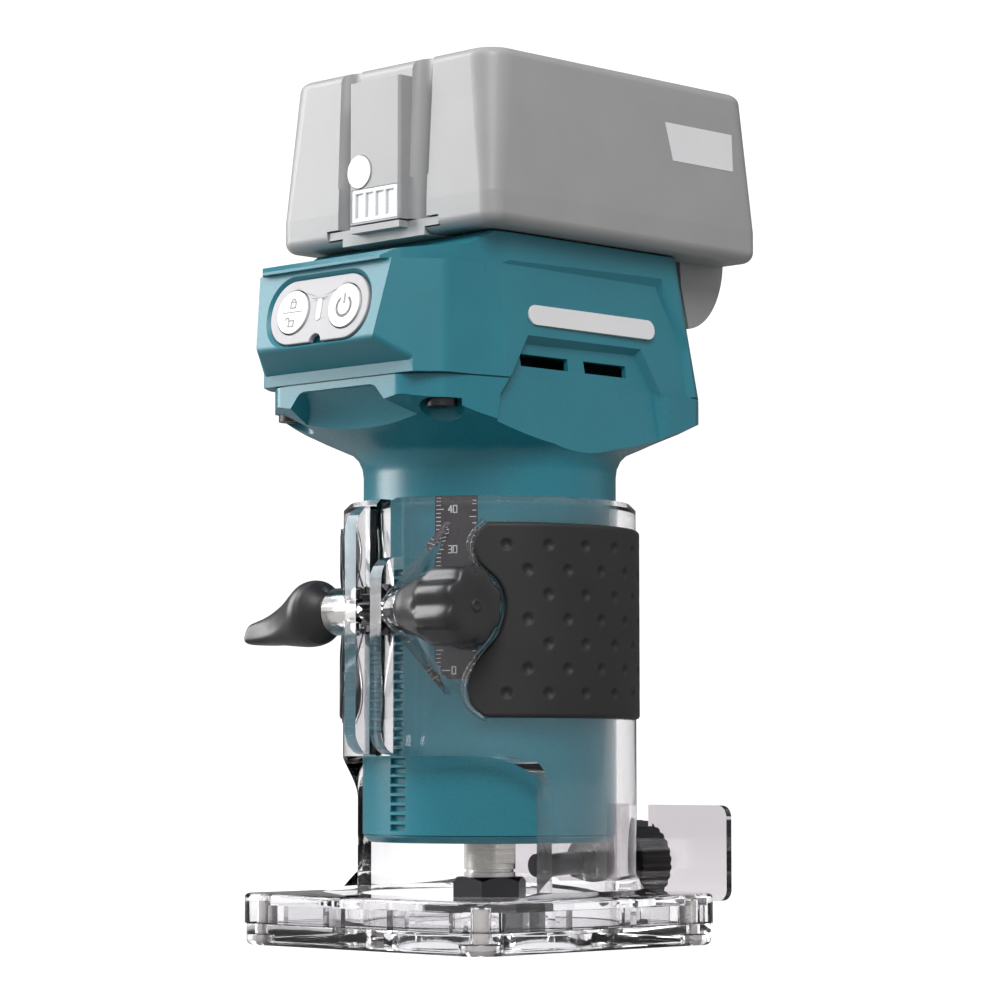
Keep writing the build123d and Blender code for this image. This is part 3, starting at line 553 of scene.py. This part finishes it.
# %% Clamp lever
def lever_sections(steps=44, around_steps=64):
    """Superellipse |y/a|^n + |z/b|^n = 1 with a, b, n and the middle's drop along x."""
    x = np.array([-17.5, -17.5, -18.6, -20.5, -22.5, -24.5, -27.0, -30.0, -33.5, -37.5, -42.0,
                  -45.3, -45.9])
    wide = np.array([0.1, 4.6, 5.2, 6.6, 7.8, 8.3, 8.2, 7.6, 6.9, 6.4, 6.4, 6.6, 6.2])
    high = np.array([0.1, 4.6, 5.2, 6.7, 8.1, 8.45, 8.3, 7.3, 5.9, 4.7, 3.6, 3.0, 2.6])
    drop = np.array([0, 0, 0, 0, 0, -0.1, -0.4, -1.2, -2.3, -3.2, -4.3, -4.8, -4.8])
    power = np.array([2, 2, 2, 2, 2, 2, 2.1, 2.4, 2.9, 3.4, 3.9, 4.0, 3.6])
    at = np.linspace(0, len(x) - 1, steps)
    x, wide, high, drop, power = (np.interp(at, np.arange(len(x)), row)[:, None]
                                  for row in (x, wide, high, drop, power))
    turn = np.linspace(0, 2 * np.pi, around_steps, endpoint=False)[None, :]
    c, s = np.cos(turn), np.sin(turn)
    y = wide * np.sign(c) * np.abs(c) ** (2 / power)
    z = high * np.sign(s) * np.abs(s) ** (2 / power)
    lean = np.clip((-x - 26.0) / 14.0, 0, 1) * 0.75
    y = y + lean * (z + high) * 0.5
    return np.stack(np.broadcast_arrays(x, y, z + drop), -1) + KNOB_AXIS


lever = tube_surface("lever_wing", lever_sections() * MM)
modifier(lever, "SUBSURF", levels=1, render_levels=1)
lever.data.materials.append(finishes["black_plastic"])
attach(lever, "clamp_lever")
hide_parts("clamp_lever")
print("lever faces:", len(lever.data.polygons))

# %% [markdown]
# ## Printed marks
# The depth scale, the two key symbols and the plain label patches are printed, which is a
# film of paint some hundredths of a millimetre thick. Each mark is a flat strip in two
# coordinates of its own (across, up), and a `wrap` function lays it on the barrel, on the
# leaning panel or on the side of the pack.

# %% Printed marks
PRINT_MM = 0.06


def paint(name, strips, wrap, body, slot="white_plastic", finish=None):
    """Thin closed plates from (n, 2) outlines, laid on a surface by wrap(uv, height)."""
    all_points, all_faces, start = [], [], 0
    for outline in strips:
        flat = np.asarray(outline, float)
        n = len(flat)
        all_points += [wrap(flat, PRINT_MM), wrap(flat, 0.0)]
        top = list(range(start, start + n))
        low = list(range(start + n, start + 2 * n))
        all_faces += [top, low[::-1]]
        all_faces += [[low[i], low[(i + 1) % n], top[(i + 1) % n], top[i]] for i in range(n)]
        start += 2 * n
    piece = mesh_object(name, np.concatenate(all_points) * MM, all_faces, smooth=False)
    piece = face_outwards(piece)
    piece.data.materials.append(finish or finishes[slot])
    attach(piece, body)
    return piece


# %% [markdown]
# ## Pen lines
# Ticks, icons and figures are drawn with the same pen: short straight strips along a path.
# A font would need a text object and its own licence, and a few strokes are enough here.

# %% Pen lines
def bar(u0, u1, v0, v1):
    """Outline of an upright rectangle."""
    return [(u0, v0), (u1, v0), (u1, v1), (u0, v1)]


def stroke(path, width, closed=False):
    """Strips, one per step of a path, each `width` wide: a pen line."""
    path = np.asarray(path, float)
    if closed:
        path = np.concatenate([path, path[:1]])
    made = []
    for p, q in zip(path[:-1], path[1:]):
        step = (q - p) / max(np.linalg.norm(q - p), 1e-9)
        side = np.array([-step[1], step[0]]) * width / 2
        p, q = p - step * width * 0.25, q + step * width * 0.25
        made.append([p - side, q - side, q + side, p + side])
    return made


def arc(centre, radius, a0, a1, steps=16):
    """Points of a circle from a0 to a1 degrees."""
    turn = np.radians(np.linspace(a0, a1, steps))
    return np.stack([centre[0] + radius * np.cos(turn), centre[1] + radius * np.sin(turn)], -1)


DIGITS = {"0": [(0, 0), (1, 0), (1, 2), (0, 2), (0, 0)],
          "1": [(0.2, 1.6), (0.6, 2), (0.6, 0)],
          "2": [(0, 2), (1, 2), (1, 1), (0, 1), (0, 0), (1, 0)],
          "3": [(0, 2), (1, 2), (1, 1), (0.2, 1), (1, 1), (1, 0), (0, 0)],
          "4": [(0.8, 0), (0.8, 2), (0, 0.7), (1.1, 0.7)]}


def digit(text, u, v, size, width):
    """Number drawn with a pen on a grid one wide and two high."""
    made = []
    for k, letter in enumerate(text):
        path = np.array(DIGITS[letter]) * size / 2 + (u + k * size * 0.72, v)
        made += stroke(path, width)
    return made


# %% [markdown]
# ## Depth scale
# The dark plate beside the rack has a millimetre scale. Its lines are laid out flat, across
# and up, and then rolled onto the barrel: the distance across becomes an angle. A picture
# would do too, but thin plates stay sharp from close by and need no file.

# %% Depth scale
BARREL_R = 32.5
SCALE_TURN = math.radians(30.4)
ZERO_Z = 68.8


def on_barrel(uv, height):
    """Rolls flat (across, up) points onto the barrel: angle = across / radius."""
    return around(SCALE_TURN + uv[:, 0] / BARREL_R, BARREL_R + height, uv[:, 1])


marks = []
for k in range(0, 43):
    long = 3.6 if k == 0 else 1.9 if k % 5 == 0 else 1.2
    marks.append(bar(-5.0, -5.0 + long, ZERO_Z + k - 0.10, ZERO_Z + k + 0.10))
for k in range(0, 28):
    z = ZERO_Z + k * 25.4 / 16
    long = 1.6 if k % 4 == 0 else 0.9
    marks.append(bar(5.0 - long, 5.0, z - 0.09, z + 0.09))
for k, text in enumerate(("0", "10", "20", "30", "40")):
    marks += digit(text, -1.9 if k else -0.9, ZERO_Z + 10 * k - 0.85, 1.75, 0.26)
paint("scale_marks", marks, on_barrel, "motor_unit")
print("scale marks:", len(marks))

# %% [markdown]
# ## Key symbols
# The lock and power keys are printed with plain line icons in grey ink. The panel leans back,
# so the print is laid on the panel's plane: across is X, up is the panel's own slope. Each
# print rides on its key, and goes in with it when the key is pressed.

# %% Key symbols
PANEL_LEAN = math.radians(11.0)
PANEL_AT = np.array([0.0, -59.6, 157.5])
PANEL_UP = np.array([0.0, math.sin(PANEL_LEAN), math.cos(PANEL_LEAN)])
PANEL_OUT = np.array([0.0, -math.cos(PANEL_LEAN), math.sin(PANEL_LEAN)])


def on_panel(raised):
    """Wrap for the leaning panel; `raised` is how far the printed face stands out."""
    def wrap(uv, height):
        return (PANEL_AT + uv[:, :1] * (1, 0, 0) + uv[:, 1:] * PANEL_UP
                + (raised + height) * PANEL_OUT)
    return wrap


ink = moulded("key_ink", (0.18, 0.18, 0.19), 0.45, 0.3, 0.02, 0.05)
CAP = 0.3
power = stroke(arc((9.4, -0.2), 2.5, 125, 415, 30), 0.68) + stroke([(9.4, 0.6), (9.4, 3.0)], 0.62)
paint("power_symbol", power, on_panel(CAP), "power_button", "panel_grey", ink)
lock = stroke([(-12.9, 0.0), (-5.9, 0.0)], 0.26)
for middle, opened in ((2.3, False), (-2.5, True)):
    body_box = [(-10.3, middle - 1.2), (-8.5, middle - 1.2), (-8.5, middle + 0.3),
                (-10.3, middle + 0.3)]
    lock += stroke(body_box, 0.38, closed=True)
    left = -10.9 if opened else -9.4
    lock += stroke(arc((left, middle + 0.5), 0.62, 0, 180, 9), 0.32)
paint("lock_symbol", lock, on_panel(CAP), "lock_button", "panel_grey", ink)
print("key strokes:", len(power) + len(lock))

# %% [markdown]
# ## Pack label
# The pack has a plain light field on its side, where a rating label would be. It is one
# slanted four-sided plate that follows the lean of the pack's wall.

# %% Pack label
SIDE_X = 39.0
PACK_SEAM, PACK_RISE, PACK_DRAFT = 185.5, 36.5, 1.7


def on_pack_side(uv, height):
    """Side of the pack, which leans in by PACK_DRAFT over its height above the seam."""
    lean = PACK_DRAFT * (uv[:, 1] - PACK_SEAM) / PACK_RISE
    return np.stack([SIDE_X - lean + 0.02 + height, uv[:, 0], uv[:, 1]], -1)


label = paint("pack_label", [[(26.0, 210.6), (52.0, 210.6), (52.0, 200.8), (28.5, 200.8)]],
              on_pack_side, "battery_pack")
print("label faces:", len(label.data.polygons))

# %% [markdown]
# ## White sweep
# The floor is flat under the tool and rises behind it in a quarter circle. One profile
# carried sideways makes the whole sheet. The paper glows a little where the camera sees it,
# straight or through clear plastic, so it stays pale without lighting the tool from below.

# %% White sweep
HALF_WIDTH = 4.0
UNDER = 0.0002


def sweep(front=-4.0, bend_at=1.6, bend_r=1.2, top=4.0):
    """Profile (distance, height): level, a quarter circle, then straight up."""
    turn = np.linspace(0, np.pi / 2, 24)
    curve = np.stack([bend_at + bend_r * np.sin(turn), bend_r * (1 - np.cos(turn))], -1)
    return np.concatenate([[(front, 0)], curve, [(bend_at + bend_r, top)]])


profile = sweep()
back = np.array([-math.sin(CAMERA_AZIMUTH), math.cos(CAMERA_AZIMUTH), 0])
aside = np.array([math.cos(CAMERA_AZIMUTH), math.sin(CAMERA_AZIMUTH), 0])
rows = (profile[:, None, :1] * back + profile[:, None, 1:] * (0, 0, 1)
        + np.array([-HALF_WIDTH, HALF_WIDTH])[None, :, None] * aside)
rows[..., 2] -= UNDER
floor = mesh_object("floor", rows, grid_quads(len(profile), 2))
paper, tree, shader = new_material("floor_paper")
shader.inputs["Base Color"].default_value = (0.30, 0.30, 0.30, 1)
shader.inputs["Roughness"].default_value = 0.8
shader.inputs["Specular IOR Level"].default_value = 0.0
shader.inputs["Emission Color"].default_value = (1, 1, 1, 1)
rays = tree.nodes.new("ShaderNodeLightPath")
direct = node(tree, "ShaderNodeMath")
direct.operation = "MAXIMUM"
tree.links.new(rays.outputs["Is Camera Ray"], direct.inputs[0])
tree.links.new(rays.outputs["Is Transmission Ray"], direct.inputs[1])
tree.links.new(spread(tree, direct.outputs["Value"], 0.0, 0.95),
               shader.inputs["Emission Strength"])
floor.data.materials.append(paper)
print("sweep faces:", len(floor.data.polygons))
